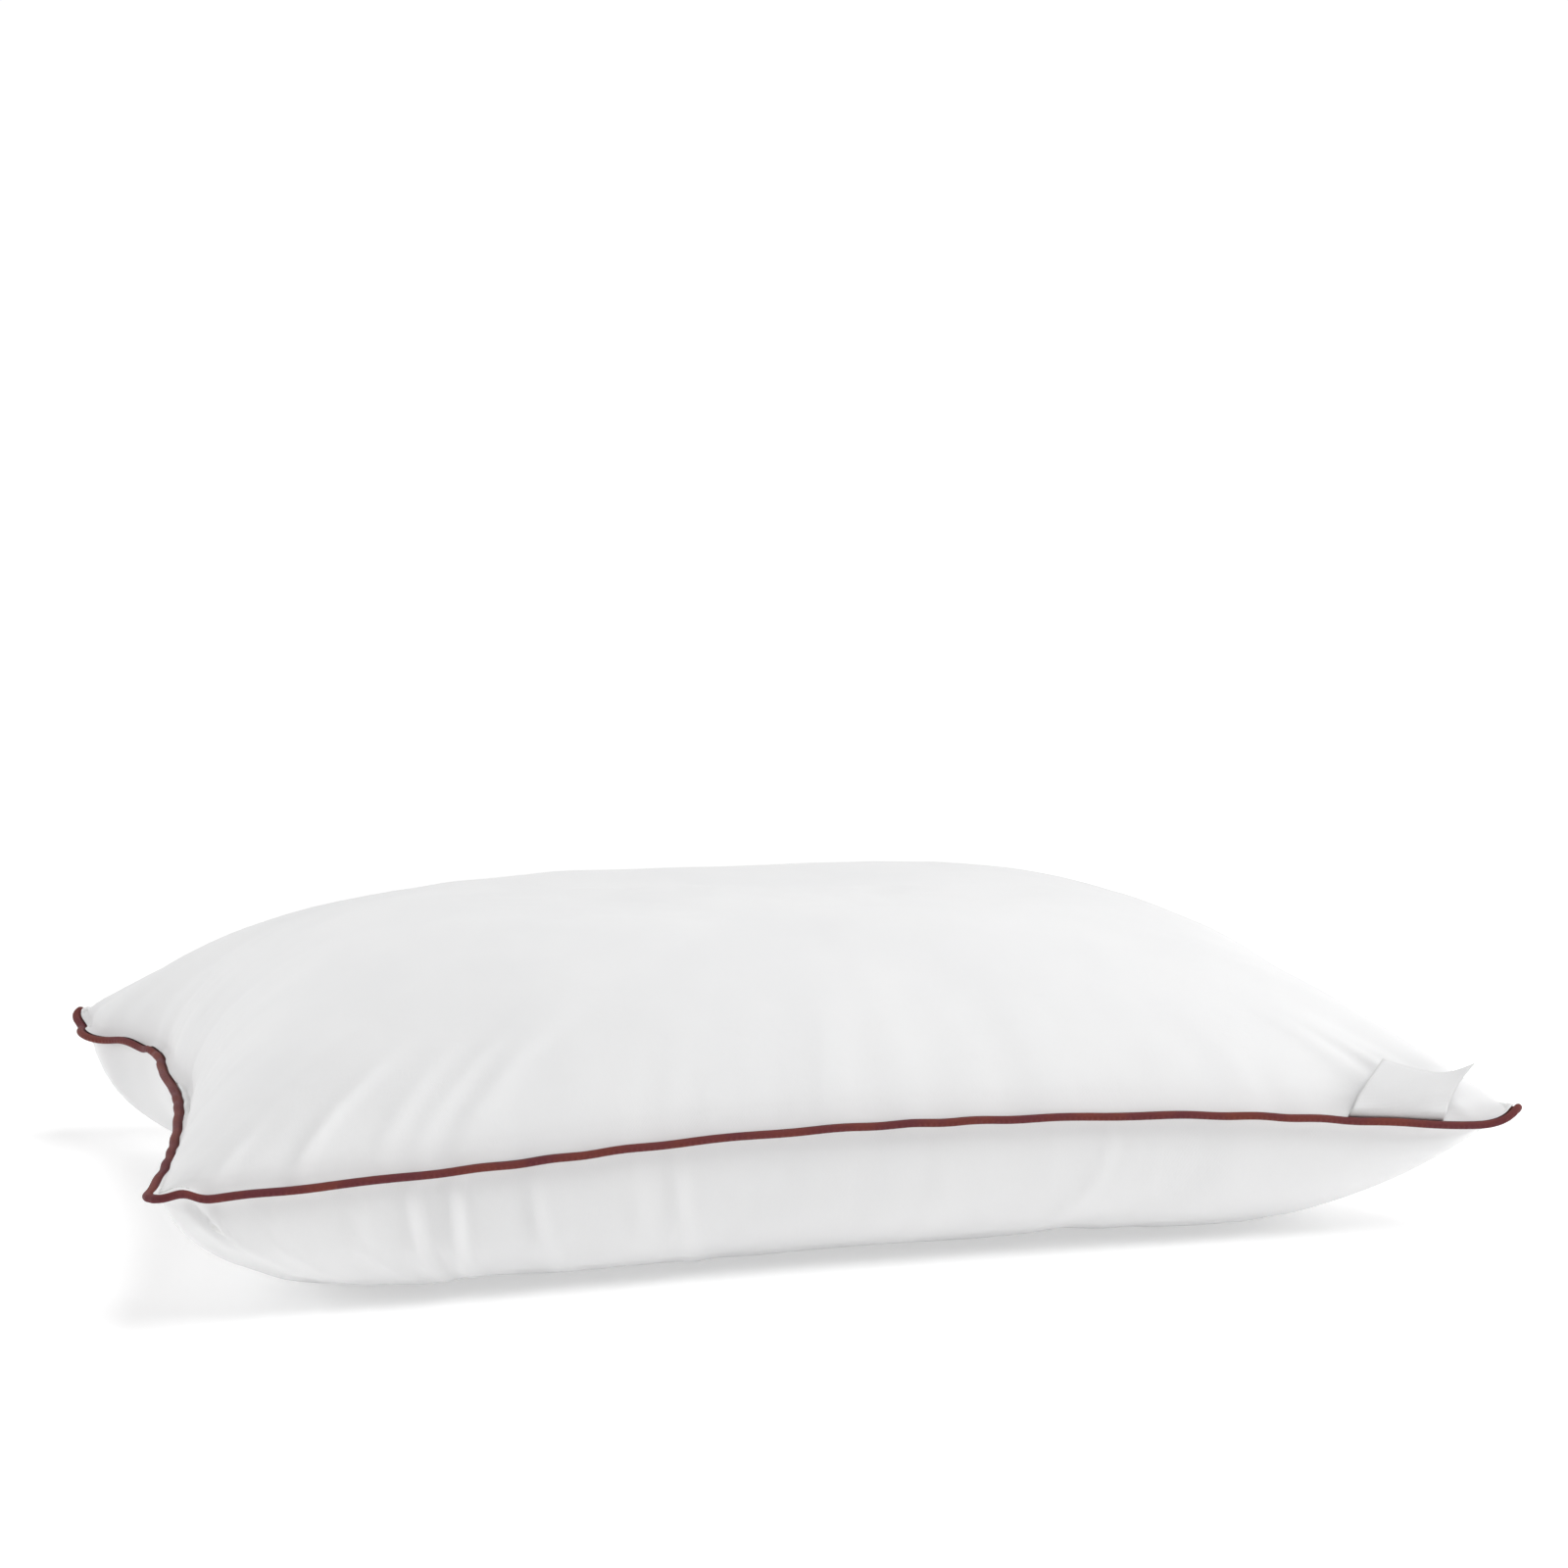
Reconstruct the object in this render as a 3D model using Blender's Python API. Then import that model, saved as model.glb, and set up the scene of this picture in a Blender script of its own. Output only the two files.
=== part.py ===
"""Bed pillow: two sewn fabric panels with corded piping in the seam, filled with fibre.

Frame: metres, +Z up, origin on the floor under the middle of the pillow, +X along the long side,
-Y towards the long side that carries the label.
"""
import math

import bmesh
import bpy
from mathutils import Matrix, Vector

# Overall sizes
LENGTH = 0.735            # seam line, corner to corner along X, before the corners are rounded
WIDTH = 0.477             # the same along Y
LOFT = 0.172              # floor to crown
CORNER_RADIUS = 0.022     # seam line at each corner
WAIST_SHORT_SIDES = 0.036   # how far the middle of each short side is drawn in
WAIST_LONG_SIDES = 0.016    # the same for each long side
SEAM_HEIGHT_CORNERS = 0.068
SEAM_HEIGHT_LONG_SIDES = 0.086
SEAM_HEIGHT_SHORT_SIDES = 0.076
UNDERSIDE_BULGE = 0.104   # depth that the underside would have if no floor flattened it
EDGE_PUFF = 0.008         # plumpness that starts right at the seam
EDGE_PUFF_RUN = 0.009     # distance over which it builds up
SHOULDER_LENGTHWISE = (3.2, 0.588)   # exponents of the crown's profile along X
SHOULDER_WIDTHWISE = (2.4, 0.625)    # and along Y

# Fabric, tape, cord and thread
GAP = 0.0003              # clearance between pieces that touch
FABRIC = 0.0005
TAPE = 0.0004
SEAM_ALLOWANCE = 0.009
PIPING_RADIUS = 0.0024
PIPING_STAND_OFF = 0.0012   # stitch line to the round of the piping
THREAD_RADIUS = 0.00025
STITCH_INSET = 0.0025     # seam stitches, inward of the panels' folded edge
OVERLOCK_WRAP = 0.004     # how far the edging thread reaches over the allowances
OVERLOCK_THICKNESS = 0.0004
CLOSING_SETBACK = 0.003   # top panel drawn back from the piping where the pillow was closed
FILL_EASE = 0.002         # fill to the edging thread

# Law label
LABEL_WIDTH = 0.057
LABEL_LENGTH = 0.030
LABEL_THICKNESS = 0.00025
LABEL_FROM_CORNER = 0.0655  # label's middle to the right-hand end of the seam
LABEL_LEAN = math.radians(77)   # free flap above the horizontal, leaning over the top panel
LABEL_HINGE_OUT = 0.00047
LABEL_HINGE_UP = 0.00275
LABEL_HEM_INSET = 0.0085

# Fineness of the meshes
LONG_STEPS = 16
SHORT_STEPS = 10
CORNER_STEPS = 4
INNER_RINGS = (0.88, 0.77, 0.62, 0.43, 0.21)
PIPING_SIDES = 9
CORD_SIDES = 6
CLOSING_STEPS = (3, 7)    # steps of the left side, from the front, where the pillow was closed
JOIN_STEP = 4             # step of the left side where the ends of the piping meet

HALF_LENGTH = LENGTH / 2
HALF_WIDTH = WIDTH / 2
NARROWEST = HALF_WIDTH - WAIST_LONG_SIDES

# The seam's stack of layers, as heights above its middle plane
TAPE_INNER = GAP / 2
TAPE_OUTER = TAPE_INNER + TAPE
LABEL_SEAT = TAPE_OUTER + GAP
TOP_SEAT = LABEL_SEAT + LABEL_THICKNESS + GAP
BOTTOM_SEAT = TAPE_OUTER + GAP
PIPING_CENTRE = PIPING_STAND_OFF + math.sqrt(PIPING_RADIUS ** 2 - TAPE_OUTER ** 2)
FILL_EDGE = SEAM_ALLOWANCE + GAP + OVERLOCK_THICKNESS + FILL_EASE

MID_HEIGHT = (SEAM_HEIGHT_LONG_SIDES + SEAM_HEIGHT_SHORT_SIDES) / 2
CROWN_RISE = LOFT - MID_HEIGHT - TOP_SEAT - EDGE_PUFF
RING_DISTANCES = (0.0, 0.001, 0.0035, FILL_EDGE)
RINGS = [1 - distance / NARROWEST for distance in RING_DISTANCES]
RINGS += [RINGS[-1] * share for share in INNER_RINGS]
FILL_RING = len(RING_DISTANCES) - 1


def clear_scene():
    for item in list(bpy.data.objects):
        bpy.data.objects.remove(item, do_unlink=True)


def finish_material(name, colour, roughness):
    material = bpy.data.materials.new(name)
    material.use_nodes = True
    shader = material.node_tree.nodes["Principled BSDF"]
    shader.inputs["Base Color"].default_value = (*colour, 1.0)
    shader.inputs["Roughness"].default_value = roughness
    shader.inputs["Metallic"].default_value = 0.0
    return material


def make_object(name, bm, material):
    """Turn a bmesh into a named object with its faces pointing out."""
    bmesh.ops.recalc_face_normals(bm, faces=bm.faces)
    mesh = bpy.data.meshes.new(name)
    bm.to_mesh(mesh)
    bm.free()
    mesh.shade_smooth()
    mesh.set_sharp_from_angle(angle=math.radians(50))
    mesh.materials.append(material)
    item = bpy.data.objects.new(name, mesh)
    bpy.context.scene.collection.objects.link(item)
    return item


# The pillow's form. A place on it is (s, t) in a square from -1 to 1, whose rim is the seam.

def round_corner(x, y):
    """Move a point of the rectangle's corner square onto the corner's arc."""
    over_x = abs(x) - (HALF_LENGTH - CORNER_RADIUS)
    over_y = abs(y) - (HALF_WIDTH - CORNER_RADIUS)
    if over_x <= 0 or over_y <= 0:
        return x, y
    shrink = max(over_x, over_y) / math.hypot(over_x, over_y)
    rounded_x = HALF_LENGTH - CORNER_RADIUS + over_x * shrink
    rounded_y = HALF_WIDTH - CORNER_RADIUS + over_y * shrink
    return math.copysign(rounded_x, x), math.copysign(rounded_y, y)


def plan(s, t):
    """Place in plan of (s, t): rounded corners, and sides drawn in between them."""
    ring = max(abs(s), abs(t))
    if ring == 0:
        return 0.0, 0.0
    x, y = round_corner(s / ring * HALF_LENGTH, t / ring * HALF_WIDTH)
    x *= ring
    y *= ring
    drawn_x = WAIST_SHORT_SIDES * (1 - abs(y / HALF_WIDTH) ** 2.2) / HALF_LENGTH
    drawn_y = WAIST_LONG_SIDES * (1 - abs(x / HALF_LENGTH) ** 2) / HALF_WIDTH
    return x * (1 - drawn_x), y * (1 - drawn_y)


def middle_height(s, t):
    """Height of the surface that the seam spans, between the two panels."""
    ring = max(abs(s), abs(t))
    if ring == 0:
        return MID_HEIGHT
    along = min(abs(s), abs(t)) / ring
    side = SEAM_HEIGHT_LONG_SIDES if abs(t) >= abs(s) else SEAM_HEIGHT_SHORT_SIDES
    rim = SEAM_HEIGHT_CORNERS + (side - SEAM_HEIGHT_CORNERS) * (1 - along ** 2) ** 1.5
    return rim * ring ** 2 + MID_HEIGHT * (1 - ring ** 2)


def crown(s, t):
    """Share of the full rise, 0 at the seam and 1 in the middle."""
    shape = 1.0
    for place, (flatness, fullness) in ((s, SHOULDER_LENGTHWISE), (t, SHOULDER_WIDTHWISE)):
        shape *= max(0.0, 1 - abs(place) ** flatness) ** fullness
    return shape


def puff(s, t):
    distance = (1 - max(abs(s), abs(t))) * NARROWEST
    return EDGE_PUFF * (1 - math.exp(-distance / EDGE_PUFF_RUN)) ** 0.4


def top_height(s, t):
    return middle_height(s, t) + TOP_SEAT + puff(s, t) + CROWN_RISE * crown(s, t)


def bottom_height(s, t):
    height = middle_height(s, t) - BOTTOM_SEAT - puff(s, t) - UNDERSIDE_BULGE * crown(s, t)
    return max(0.0, height)


def side_places(steps, half, other):
    """Steps along one side between its corner arcs, closer together near the arcs."""
    reach = 1 - CORNER_RADIUS / half
    shares = [2 * i / steps - 1 for i in range(steps)]
    places = [(reach * (share + math.sin(math.pi / 2 * share)) / 2, -1.0) for share in shares]
    for i in range(CORNER_STEPS):
        angle = math.pi / 2 * i / CORNER_STEPS
        over = math.tan(min(angle, math.pi / 2 - angle))
        near = 1 - CORNER_RADIUS / half * (1 - over)
        far = 1 - CORNER_RADIUS / other * (1 - over)
        places.append((near, -1.0) if angle <= math.pi / 4 else (1.0, -far))
    return places


def rim_places():
    """Places round the rim, anticlockwise from the left end of the front side."""
    front = side_places(LONG_STEPS, HALF_LENGTH, HALF_WIDTH)
    right = [(-t, s) for s, t in side_places(SHORT_STEPS, HALF_WIDTH, HALF_LENGTH)]
    half_way = front + right
    return half_way + [(-s, -t) for s, t in half_way]


PLACES = rim_places()
COUNT = len(PLACES)
FRONT_OF_LEFT_SIDE = COUNT - CORNER_STEPS
OPENING = [FRONT_OF_LEFT_SIDE - step for step in reversed(CLOSING_STEPS)]
JOIN = FRONT_OF_LEFT_SIDE - JOIN_STEP


def seam_frames():
    """For each place on the rim, its seam point and the direction out of the pillow there."""
    points = [Vector((*plan(s, t), middle_height(s, t))) for s, t in PLACES]
    frames = []
    for i, point in enumerate(points):
        before = (point - points[i - 1]).to_2d().normalized()
        after = (points[(i + 1) % COUNT] - point).to_2d().normalized()
        along = (before + after).normalized()
        out = Vector((along.y, -along.x, 0.0)) / before.dot(along)
        frames.append((point, out))
    return frames


FRAMES = seam_frames()


def beside_seam(frame, out, up):
    point, outward = frame
    return point + outward * out + Vector((0, 0, up))


def closing_share(i):
    """1 in the middle of the closed-up opening, falling to 0 at its two ends."""
    first, last = OPENING
    if not first < i < last:
        return 0.0
    return math.sin(math.pi * (i - first) / (last - first)) ** 0.5


def panel_rings(height, setback):
    """Rings of the outer face of a panel, from its folded edge to its middle."""
    rings = []
    for ring in RINGS:
        row = []
        fade = max(0.0, 1 - (1 - ring) * NARROWEST / FILL_EDGE)
        for i, (s, t) in enumerate(PLACES):
            point = Vector((*plan(s * ring, t * ring), height(s * ring, t * ring)))
            row.append(point - FRAMES[i][1] * setback * closing_share(i) * fade)
        rings.append(row)
    return rings


def join_rings(bm, one, other, closed=True):
    """Triangles between two rings. Each diagonal starts at the outer ring, as in every layer."""
    for i in range(len(one) if closed else len(one) - 1):
        j = (i + 1) % len(one)
        if one[i].co.xy.length > other[i].co.xy.length:
            outer, inner = one, other
        else:
            outer, inner = other, one
        bm.faces.new((outer[i], inner[i], inner[j]))
        bm.faces.new((outer[i], inner[j], outer[j]))


def cap_ring(bm, ring, pole):
    for i in range(len(ring)):
        bm.faces.new((ring[i], ring[(i + 1) % len(ring)], pole))


def offset_face(rings, pole, distance):
    """The rings and the pole of a face moved by a distance against its outward direction."""
    bm = bmesh.new()
    rows = [[bm.verts.new(point) for point in ring] for ring in rings]
    for one, other in zip(rows, rows[1:]):
        join_rings(bm, one, other)
    middle = bm.verts.new(pole)
    cap_ring(bm, rows[-1], middle)
    bmesh.ops.recalc_face_normals(bm, faces=bm.faces)
    bm.normal_update()
    inward = -distance if (middle.normal.z > 0) == (pole.z > MID_HEIGHT) else distance
    moved = [[vert.co + vert.normal * inward for vert in row] for row in rows]
    moved_pole = middle.co + middle.normal * inward
    bm.free()
    return moved, moved_pole


def closed_body(chain, first_pole, last_pole):
    """A solid from a chain of rings, closed by a point at each end."""
    bm = bmesh.new()
    rows = [[bm.verts.new(point) for point in ring] for ring in chain]
    for one, other in zip(rows, rows[1:]):
        join_rings(bm, one, other)
    cap_ring(bm, rows[0], bm.verts.new(first_pole))
    cap_ring(bm, rows[-1], bm.verts.new(last_pole))
    return bm


def make_panel(name, side, seat, height, setback, material):
    """A panel with its allowance turned in: side is 1 for the top one and -1 for the bottom."""
    outer = panel_rings(height, setback)
    outer_pole = Vector((0, 0, height(0, 0)))
    inner, inner_pole = offset_face(outer, outer_pole, FABRIC)
    allowance = []
    for out, up in (
        (-SEAM_ALLOWANCE, seat),
        (-SEAM_ALLOWANCE, seat + FABRIC),
        (-1.6 * FABRIC, seat + FABRIC),
    ):
        drawn_back = setback if out > -SEAM_ALLOWANCE else 0.0
        row = []
        for i, frame in enumerate(FRAMES):
            row.append(beside_seam(frame, out - drawn_back * closing_share(i), side * up))
        allowance.append(row)
    chain = outer[::-1] + allowance + inner[1:]
    return make_object(name, closed_body(chain, outer_pole, inner_pole), material)


def make_fill(material):
    depth = FABRIC + GAP
    top_pole = Vector((0, 0, top_height(0, 0)))
    bottom_pole = Vector((0, 0, bottom_height(0, 0)))
    top, top_pole = offset_face(panel_rings(top_height, CLOSING_SETBACK), top_pole, depth)
    bottom, bottom_pole = offset_face(panel_rings(bottom_height, 0.0), bottom_pole, depth)
    chain = top[FILL_RING:][::-1] + bottom[FILL_RING:]
    return make_object("fibre_fill", closed_body(chain, top_pole, bottom_pole), material)


def sweep(name, section, frames, closed, material):
    """Carry a cross-section of (out, up) points along the seam."""
    bm = bmesh.new()
    rings = []
    for out, up in section:
        rings.append([bm.verts.new(beside_seam(frame, out, up)) for frame in frames])
    for i, ring in enumerate(rings):
        join_rings(bm, ring, rings[(i + 1) % len(rings)], closed)
    if not closed:
        bm.faces.new([ring[0] for ring in rings])
        bm.faces.new([ring[-1] for ring in rings])
    return make_object(name, bm, material)


def frames_between(first, last):
    """Seam frames from one step to another, going on round the rim past its start."""
    return [FRAMES[i % COUNT] for i in range(first, last + 1)]


def piping_frames():
    """Right round the seam from the join to the join, where the two ends leave a gap."""
    frames = frames_between(JOIN, JOIN + COUNT)
    point, out = frames[-1]
    back = (frames[-2][0] - point).normalized()
    frames[-1] = (point + back * GAP, out)
    return frames


def circle_section(centre, radius, sides):
    turns = [2 * math.pi * i / sides for i in range(sides)]
    return [(centre[0] + radius * math.cos(a), centre[1] + radius * math.sin(a)) for a in turns]


def piping_section():
    """Bias tape folded round the cord, its two plies running into the seam."""
    section = [(-SEAM_ALLOWANCE, -TAPE_OUTER)]
    mouth = math.asin(TAPE_OUTER / PIPING_RADIUS)
    for i in range(PIPING_SIDES + 1):
        angle = -math.pi + mouth + (2 * math.pi - 2 * mouth) * i / PIPING_SIDES
        out = PIPING_CENTRE + PIPING_RADIUS * math.cos(angle)
        section.append((out, PIPING_RADIUS * math.sin(angle)))
    section.append((-SEAM_ALLOWANCE, TAPE_OUTER))
    section.append((-SEAM_ALLOWANCE, TAPE_INNER))
    inside = PIPING_RADIUS - TAPE
    mouth = math.asin(TAPE_INNER / inside)
    for i in range(PIPING_SIDES + 1):
        angle = math.pi - mouth - (2 * math.pi - 2 * mouth) * i / PIPING_SIDES
        section.append((PIPING_CENTRE + inside * math.cos(angle), inside * math.sin(angle)))
    section.append((-SEAM_ALLOWANCE, -TAPE_INNER))
    return section


def make_piping(tape, cord):
    sweep("piping_cover", piping_section(), piping_frames(), False, tape)
    bore = (PIPING_RADIUS - TAPE) * math.cos(math.pi / PIPING_SIDES)
    section = circle_section((PIPING_CENTRE, 0.0), bore - GAP, CORD_SIDES)
    sweep("piping_cord", section, piping_frames(), False, cord)


def make_threads(white, maroon):
    """The row that holds the tape to the cord, the seam's own rows and the closing row."""
    below = -TAPE_OUTER - GAP - THREAD_RADIUS
    section = circle_section((PIPING_STAND_OFF / 2, below), THREAD_RADIUS, 4)
    sweep("piping_thread", section, piping_frames(), False, maroon)
    sewn = frames_between(OPENING[1], OPENING[0] + COUNT)
    lift = FABRIC + GAP + THREAD_RADIUS
    rows = (
        ("seam_needle_thread", TOP_SEAT + lift),
        ("seam_bobbin_thread", -BOTTOM_SEAT - lift),
    )
    for name, up in rows:
        section = circle_section((-STITCH_INSET, up), THREAD_RADIUS, 4)
        sweep(name, section, sewn, False, white)
    closing = frames_between(OPENING[0] + 1, OPENING[1] - 1)
    middle = (TAPE_OUTER + TOP_SEAT) / 2
    section = circle_section((0.0, middle), THREAD_RADIUS / 2, 4)
    sweep("closing_thread", section, closing, False, white)


def make_overlock(material):
    """Edging thread wrapped over the raw edges of the allowances, all round the inside."""
    near = -SEAM_ALLOWANCE + OVERLOCK_WRAP
    far = -SEAM_ALLOWANCE - GAP
    top = TOP_SEAT + FABRIC + GAP
    bottom = -BOTTOM_SEAT - FABRIC - GAP
    wall = OVERLOCK_THICKNESS
    section = [
        (near, bottom - wall),
        (near, bottom),
        (far, bottom),
        (far, top),
        (near, top),
        (near, top + wall),
        (far - wall, top + wall),
        (far - wall, bottom - wall),
    ]
    sweep("overlock_thread", section, FRAMES, True, material)


def seam_frame_at(x):
    """Seam frame on the front side at a given x, between two steps."""
    for i in range(LONG_STEPS):
        (start, start_out), (end, end_out) = FRAMES[i], FRAMES[i + 1]
        if start.x <= x <= end.x:
            share = (x - start.x) / (end.x - start.x)
            return start.lerp(end, share), start_out.lerp(end_out, share)
    raise ValueError("the label doesn't fit on the front side")


def make_label(material):
    """The label: its hem caught in the seam, and its free flap, which turns about its root."""
    centre = HALF_LENGTH - LABEL_FROM_CORNER
    ends = [seam_frame_at(centre + side * LABEL_WIDTH / 2) for side in (-1, 1)]
    along = (ends[1][0] - ends[0][0]).normalized()
    out = along.cross(Vector((0, 0, 1))).normalized()
    frames = [(point, out) for point, _ in ends]
    half = LABEL_THICKNESS / 2
    hem_top = LABEL_HINGE_UP - GAP - half
    hem = [
        (-LABEL_HEM_INSET, LABEL_SEAT),
        (LABEL_HINGE_OUT + half, LABEL_SEAT),
        (LABEL_HINGE_OUT + half, hem_top),
        (LABEL_HINGE_OUT - half, hem_top),
        (LABEL_HINGE_OUT - half, LABEL_SEAT + LABEL_THICKNESS),
        (-LABEL_HEM_INSET, LABEL_SEAT + LABEL_THICKNESS),
    ]
    sweep("law_label_hem", hem, frames, False, material)
    lean_out = -math.cos(LABEL_LEAN)
    lean_up = math.sin(LABEL_LEAN)
    flap = []
    for length, across in ((0, -half), (LABEL_LENGTH, -half), (LABEL_LENGTH, half), (0, half)):
        flap.append((
            LABEL_HINGE_OUT + length * lean_out + across * lean_up,
            LABEL_HINGE_UP + length * lean_up - across * lean_out,
        ))
    item = sweep("law_label", flap, frames, False, material)
    hinge = beside_seam(frames[0], LABEL_HINGE_OUT, LABEL_HINGE_UP)
    item.data.transform(Matrix.Translation(-hinge))
    item.location = hinge


def main():
    clear_scene()
    shell = finish_material("white_microfibre", (0.90, 0.90, 0.89), 0.62)
    tape = finish_material("maroon_tape", (0.19, 0.045, 0.038), 0.55)
    cord = finish_material("cotton_cord", (0.80, 0.77, 0.70), 0.85)
    thread = finish_material("white_thread", (0.86, 0.86, 0.84), 0.45)
    tape_thread = finish_material("maroon_thread", (0.13, 0.03, 0.028), 0.45)
    fibre = finish_material("polyester_fibre", (0.93, 0.93, 0.92), 0.90)
    paper = finish_material("label_fabric", (0.78, 0.78, 0.77), 0.70)
    make_panel("top_panel", 1, TOP_SEAT, top_height, CLOSING_SETBACK, shell)
    make_panel("bottom_panel", -1, BOTTOM_SEAT, bottom_height, 0.0, shell)
    make_fill(fibre)
    make_piping(tape, cord)
    make_threads(thread, tape_thread)
    make_overlock(thread)
    make_label(paper)


main()
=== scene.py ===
"""Bed pillow: blown-up cloth cover, corded piping, stitching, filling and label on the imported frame."""

import math
import random

import bmesh
import bpy
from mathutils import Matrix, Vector, noise


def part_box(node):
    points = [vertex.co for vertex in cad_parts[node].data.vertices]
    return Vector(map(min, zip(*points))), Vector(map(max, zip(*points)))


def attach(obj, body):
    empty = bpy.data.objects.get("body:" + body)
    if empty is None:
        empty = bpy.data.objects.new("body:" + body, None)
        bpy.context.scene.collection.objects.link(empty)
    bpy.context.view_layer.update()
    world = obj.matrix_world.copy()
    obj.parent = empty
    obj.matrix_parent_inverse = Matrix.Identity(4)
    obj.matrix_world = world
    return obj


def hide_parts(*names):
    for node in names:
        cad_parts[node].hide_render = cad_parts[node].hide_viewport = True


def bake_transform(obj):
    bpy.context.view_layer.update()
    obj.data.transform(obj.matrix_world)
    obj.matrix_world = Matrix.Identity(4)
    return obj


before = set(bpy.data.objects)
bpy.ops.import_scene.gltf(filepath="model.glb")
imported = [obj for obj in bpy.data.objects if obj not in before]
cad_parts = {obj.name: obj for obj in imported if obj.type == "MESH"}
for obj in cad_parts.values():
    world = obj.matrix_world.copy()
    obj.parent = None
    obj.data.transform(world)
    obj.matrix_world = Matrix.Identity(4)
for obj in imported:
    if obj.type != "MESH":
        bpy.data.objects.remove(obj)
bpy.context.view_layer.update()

# The cover. A place on it is (s, t) in a square from -1 to 1, whose rim is the seam.
panel_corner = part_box("bottom_panel")[1]
HALF_LENGTH = panel_corner[0] * 1.0166     # seam line before its corners are rounded
HALF_WIDTH = panel_corner[1] * 1.008
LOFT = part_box("top_panel")[1][2]
CORNER_RADIUS = 0.015
WAIST_SHORT_SIDES = 0.036
WAIST_LONG_SIDES = 0.016
SEAM_HEIGHT_LONG_SIDES = 0.0845
SEAM_HEIGHT_SHORT_SIDES = 0.077
START_RISE = 0.103         # start shape, before air pressure and weight settle it
START_DROP = 0.112
TOP_SHOULDERS = ((3.6, 0.60), (2.5, 0.56))
BOTTOM_SHOULDERS = ((4.0, 0.54), (3.2, 0.55))
CROWN_SPARE = 0.006        # the pillow is pressed no lower than this above its loft
SLACK_TO_RIGHT = 0.15      # the underside is fuller at its left end

# How each panel was cut, between its seam lines
CUT_LENGTH = 0.790
CUT_WIDTH = 0.535
CUT_CORNER = 0.024
SEAM_ALLOWANCE = 0.009
TURN_IN = 0.0009           # the fold of a panel's edge
TURN_LIFT = 0.0001         # what is turned in lies this far above the seat
FABRIC = 0.0005
CELL = 0.0095
FINE_BORDER = 0.042        # how far in from the seam the cells are finer, for the folds
OFF_FLOOR = 0.0005         # the start shape stays this high above the floor
NO_RING = 1e-6             # a place this near the middle is the middle
ON_SEAM = 0.9999           # a place this near the rim is on the seam

# The seam's layers, as heights above its middle plane, and the piping outside it
TAPE = 0.0004
TAPE_INNER = 0.00015
TAPE_OUTER = TAPE_INNER + TAPE
TOP_SEAT = 0.0014
BOTTOM_SEAT = 0.00085
LABEL_SEAT = 0.00098
PIPING_RADIUS = 0.0021
PIPING_CENTRE = 0.0032
SEAM_STEPS = 1500
SEAM_RUN = 2.37            # metres round the seam, for the weave of what follows it
STITCH_LENGTH = 0.003
STITCH_INSET = 0.0025      # the seam's stitches, in from its edge
STITCH_PROUD = 0.00105     # their thread above the panel's seat
STITCH_THREAD = 0.00022    # half the thickness of that thread

# Where the pillow was closed after filling, as turns round the seam
CLOSING_MIDDLE = 3.565
CLOSING_HALF = 0.115
CLOSING_SETBACK = 0.0028

# Strays of the left and right seams: place along the side, width, distance outwards
LEFT_STRAYS = ((0.80, 0.08, 0.010), (0.50, 0.22, -0.012), (0.0, 0.30, -0.004))
RIGHT_STRAYS = ((-0.95, 0.10, 0.005), (-0.55, 0.16, -0.006), (0.20, 0.20, 0.004), (0.72, 0.12, -0.005))
FRONT_DIPS = ((-0.55, 0.28, -0.0018), (0.53, 0.20, 0.0015), (-0.955, 0.020, 0.0035))
BACK_DIPS = ((0.40, 0.15, 0.004), (-0.35, 0.20, -0.004))
# Each corner, by whether it is right and whether it is at the back: height, upward curl and reach
CORNERS = {
    (False, False): (0.0725, 0.0010, 0.013),
    (True, False): (0.0655, 0.0085, 0.013),
    (False, True): (0.0755, 0.0080, 0.014),
    (True, True): (0.0680, 0.0060, 0.016),
}


def bell(value, centre, width):
    return math.exp(-((value - centre) / width) ** 2)


def blend_in(value, start, end):
    share = min(1.0, max(0.0, (value - start) / (end - start)))
    return share * share * (3 - 2 * share)


def round_corner(x, y, half_length, half_width, radius):
    over_x = abs(x) - (half_length - radius)
    over_y = abs(y) - (half_width - radius)
    if over_x <= 0 or over_y <= 0:
        return x, y
    shrink = max(over_x, over_y) / math.hypot(over_x, over_y)
    rounded_x = half_length - radius + over_x * shrink
    rounded_y = half_width - radius + over_y * shrink
    return math.copysign(rounded_x, x), math.copysign(rounded_y, y)


def turn_of(s, t):
    """Turns round the seam: 0 to 1 along the front, then right, back and left."""
    if t <= -1 + 1e-6:
        return (s + 1) / 2
    if s >= 1 - 1e-6:
        return 1 + (t + 1) / 2
    if t >= 1 - 1e-6:
        return 2 + (1 - s) / 2
    return 3 + (1 - t) / 2


def place_at(turn):
    side, share = divmod(turn % 4, 1)
    along = 2 * share - 1
    return ((along, -1.0), (1.0, along), (-along, 1.0), (-1.0, -along))[int(side)]


def waviness(turn):
    """The seam's small waves, strongest at the back of the left side."""
    strength = 0.0004 + 0.0011 * bell(turn % 4, 3.16, 0.09)
    return strength * math.sin(turn * 98 + 1.5 * math.sin(turn * 23))


def corner_height(s, t):
    """Height of the seam between its four corners, before its sides rise."""
    height = 0.0
    for (right, back), corner in CORNERS.items():
        share_x = (1 + s) / 2 if right else (1 - s) / 2
        share_y = (1 + t) / 2 if back else (1 - t) / 2
        height += corner[0] * share_x * share_y
    return height


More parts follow.
